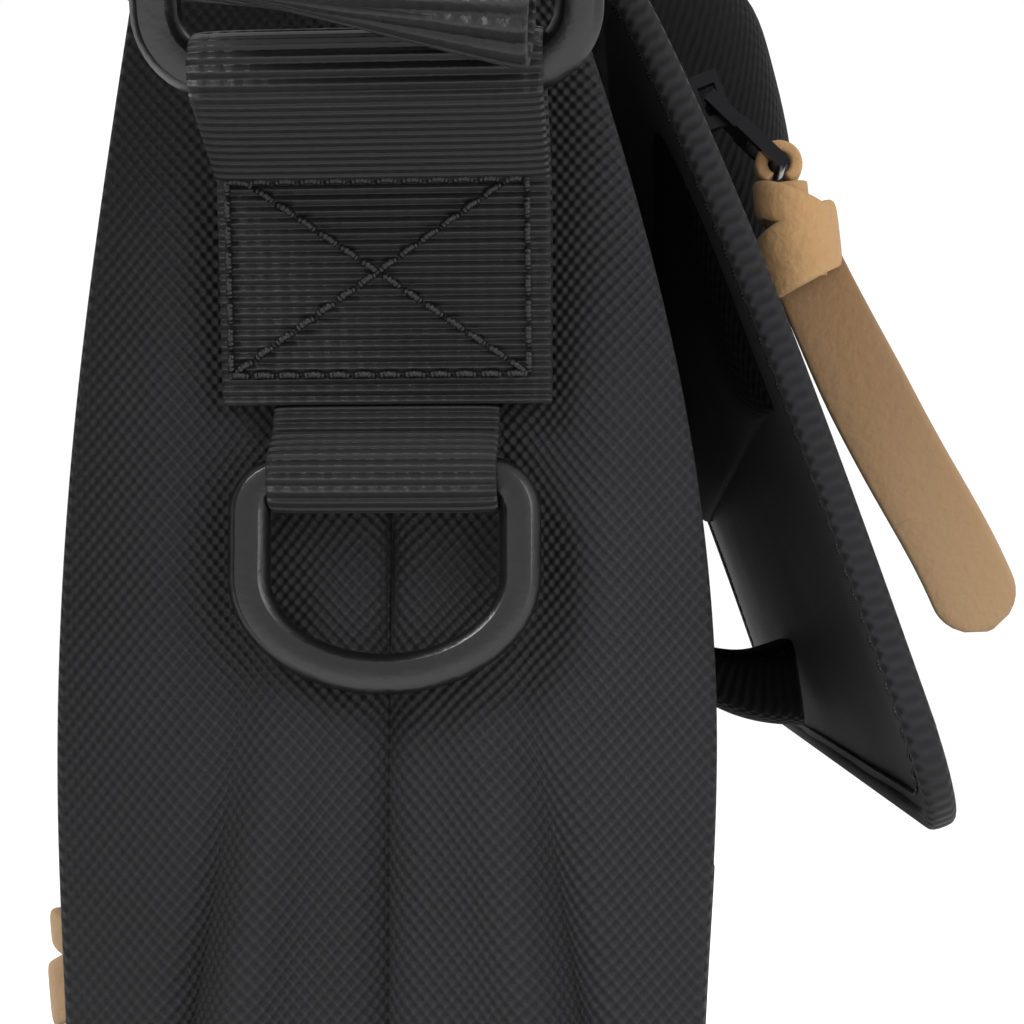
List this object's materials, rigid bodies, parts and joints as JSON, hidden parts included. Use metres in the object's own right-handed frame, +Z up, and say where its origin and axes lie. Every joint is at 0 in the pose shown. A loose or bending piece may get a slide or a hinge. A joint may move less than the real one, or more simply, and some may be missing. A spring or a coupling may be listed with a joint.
{
  "type": "messenger bag",
  "caption": "Flap-over fabric messenger bag with webbing side rings, D-rings, zipped pockets with leather pulls and an adjustable shoulder strap.",
  "frame": {"origin": "middle of the underside, on the surface the bag stands on, below the end walls' middle seams", "axes": "+Z up, front (flap side) towards -Y, the bag's width along X"},
  "size_m": [0.3913, 0.1921, 0.2837],
  "materials": {
    "canvas": "coarse plain-weave nylon, charcoal black",
    "lining_cloth": "thin woven lining",
    "webbing": "ribbed nylon webbing",
    "ring_plastic": "moulded acetal, fine matt grain",
    "zip_tape": "herringbone zip tape",
    "zip_coil": "nylon coil",
    "zip_metal": "black enamelled zinc",
    "tan_leather": "napped tan leather",
    "stiffener": "polyethylene board",
    "hook_loop": "hook-and-loop tape",
    "binding": "grosgrain edge binding",
    "pad_cloth": "air-mesh over foam"
  },
  "bodies": {
    "bag": {"front_panel": "canvas", "back_panel": "canvas", "base_panel": "canvas", "base_board": "stiffener", "gusset_left_front": "canvas", "gusset_left_rear": "canvas", "gusset_right_front": "canvas", "gusset_right_rear": "canvas", "lining": "lining_cloth", "tablet_sleeve": "lining_cloth", "organiser_pocket": "lining_cloth", "front_slip_pocket": "canvas", "mouth_binding_front": "binding", "mouth_binding_back": "binding", "mouth_binding_left": "binding", "mouth_binding_right": "binding", "flap_seam_tape": "canvas", "loop_patch": "hook_loop", "rear_zip_tape": "zip_tape", "rear_zip_coil": "zip_coil", "anchor_tab_left": "webbing", "anchor_tab_right": "webbing", "d_ring_loop_left": "webbing", "d_ring_loop_right": "webbing", "shoulder_strap": "webbing"},
    "flap_top": {"flap_top_shell": "canvas", "flap_top_lining": "lining_cloth"},
    "flap_front": {"flap_front_shell": "canvas", "flap_front_lining": "lining_cloth", "flap_binding": "binding", "flap_pocket": "canvas", "flap_zip_tape": "zip_tape", "flap_zip_coil": "zip_coil", "hook_tab": "hook_loop"},
    "flap_slider": {"flap_slider": "zip_metal"},
    "flap_puller": {"flap_puller": "zip_metal"},
    "flap_pull": {"flap_knot": "tan_leather", "flap_tail": "tan_leather"},
    "rear_slider": {"rear_slider": "zip_metal"},
    "rear_puller": {"rear_puller": "zip_metal"},
    "rear_pull": {"rear_knot": "tan_leather", "rear_tail": "tan_leather"},
    "d_ring_left": {"d_ring_left": "ring_plastic"},
    "d_ring_right": {"d_ring_right": "ring_plastic"},
    "strap_ring_left": {"strap_ring_left": "ring_plastic"},
    "strap_ring_right": {"strap_ring_right": "ring_plastic"},
    "strap_adjuster": {"strap_adjuster": "ring_plastic"},
    "shoulder_pad": {"shoulder_pad": "pad_cloth", "pad_keepers": "webbing"}
  },
  "joints": [
    {"name": "flap_top_hinge", "type": "hinge", "parent": "bag", "child": "flap_top", "pos_m": [0, 0.0345, 0.2328], "axis": [-1, 0, 0], "range_deg": [0, 180]},
    {"name": "flap_front_hinge", "type": "hinge", "parent": "flap_top", "child": "flap_front", "pos_m": [0, -0.0257, 0.2328], "axis": [-1, 0, 0], "range_deg": [0, 80]},
    {"name": "flap_zip_slide", "type": "slide", "parent": "flap_front", "child": "flap_slider", "axis": [0, -0.3584, -0.9336], "range_m": [0, 0.075]},
    {"name": "flap_puller_hinge", "type": "hinge", "parent": "flap_slider", "child": "flap_puller", "pos_m": [-0.1385, -0.03767, 0.21865], "axis": [-1, 0, 0], "range_deg": [0, 100]},
    {"name": "flap_pull_hinge", "type": "hinge", "parent": "flap_puller", "child": "flap_pull", "pos_m": [-0.1385, -0.0458, 0.21052], "axis": [-1, 0, 0], "range_deg": [0, 45]},
    {"name": "rear_zip_slide", "type": "slide", "parent": "bag", "child": "rear_slider", "axis": [1, 0, 0], "range_m": [-0.0165, 0.2565]},
    {"name": "rear_puller_hinge", "type": "hinge", "parent": "rear_slider", "child": "rear_puller", "pos_m": [-0.12, 0.0437, 0.131], "axis": [1, 0, 0], "range_deg": [0, 90]},
    {"name": "rear_pull_hinge", "type": "hinge", "parent": "rear_puller", "child": "rear_pull", "pos_m": [-0.12, 0.0437, 0.1195], "axis": [1, 0, 0], "range_deg": [0, 60]},
    {"name": "d_ring_left_hinge", "type": "hinge", "parent": "bag", "child": "d_ring_left", "pos_m": [-0.1567, 0, 0.1713], "axis": [0, 1, 0], "range_deg": [0, 150]},
    {"name": "d_ring_right_hinge", "type": "hinge", "parent": "bag", "child": "d_ring_right", "pos_m": [0.1567, 0, 0.1713], "axis": [0, -1, 0], "range_deg": [0, 150]},
    {"name": "strap_ring_left_hinge", "type": "hinge", "parent": "bag", "child": "strap_ring_left", "pos_m": [-0.171, 0, 0.214], "axis": [0, 1, 0], "range_deg": [-3, 3]},
    {"name": "strap_ring_right_hinge", "type": "hinge", "parent": "bag", "child": "strap_ring_right", "pos_m": [0.171, 0, 0.214], "axis": [0, -1, 0], "range_deg": [-3, 3]},
    {"name": "adjuster_slide", "type": "slide", "parent": "bag", "child": "strap_adjuster", "axis": [0, 0.1461, -0.9893], "range_m": [-0.028, 0.028]},
    {"name": "pad_slide", "type": "slide", "parent": "bag", "child": "shoulder_pad", "axis": [1, 0, 0], "range_m": [-0.02, 0.02]}
  ]
}
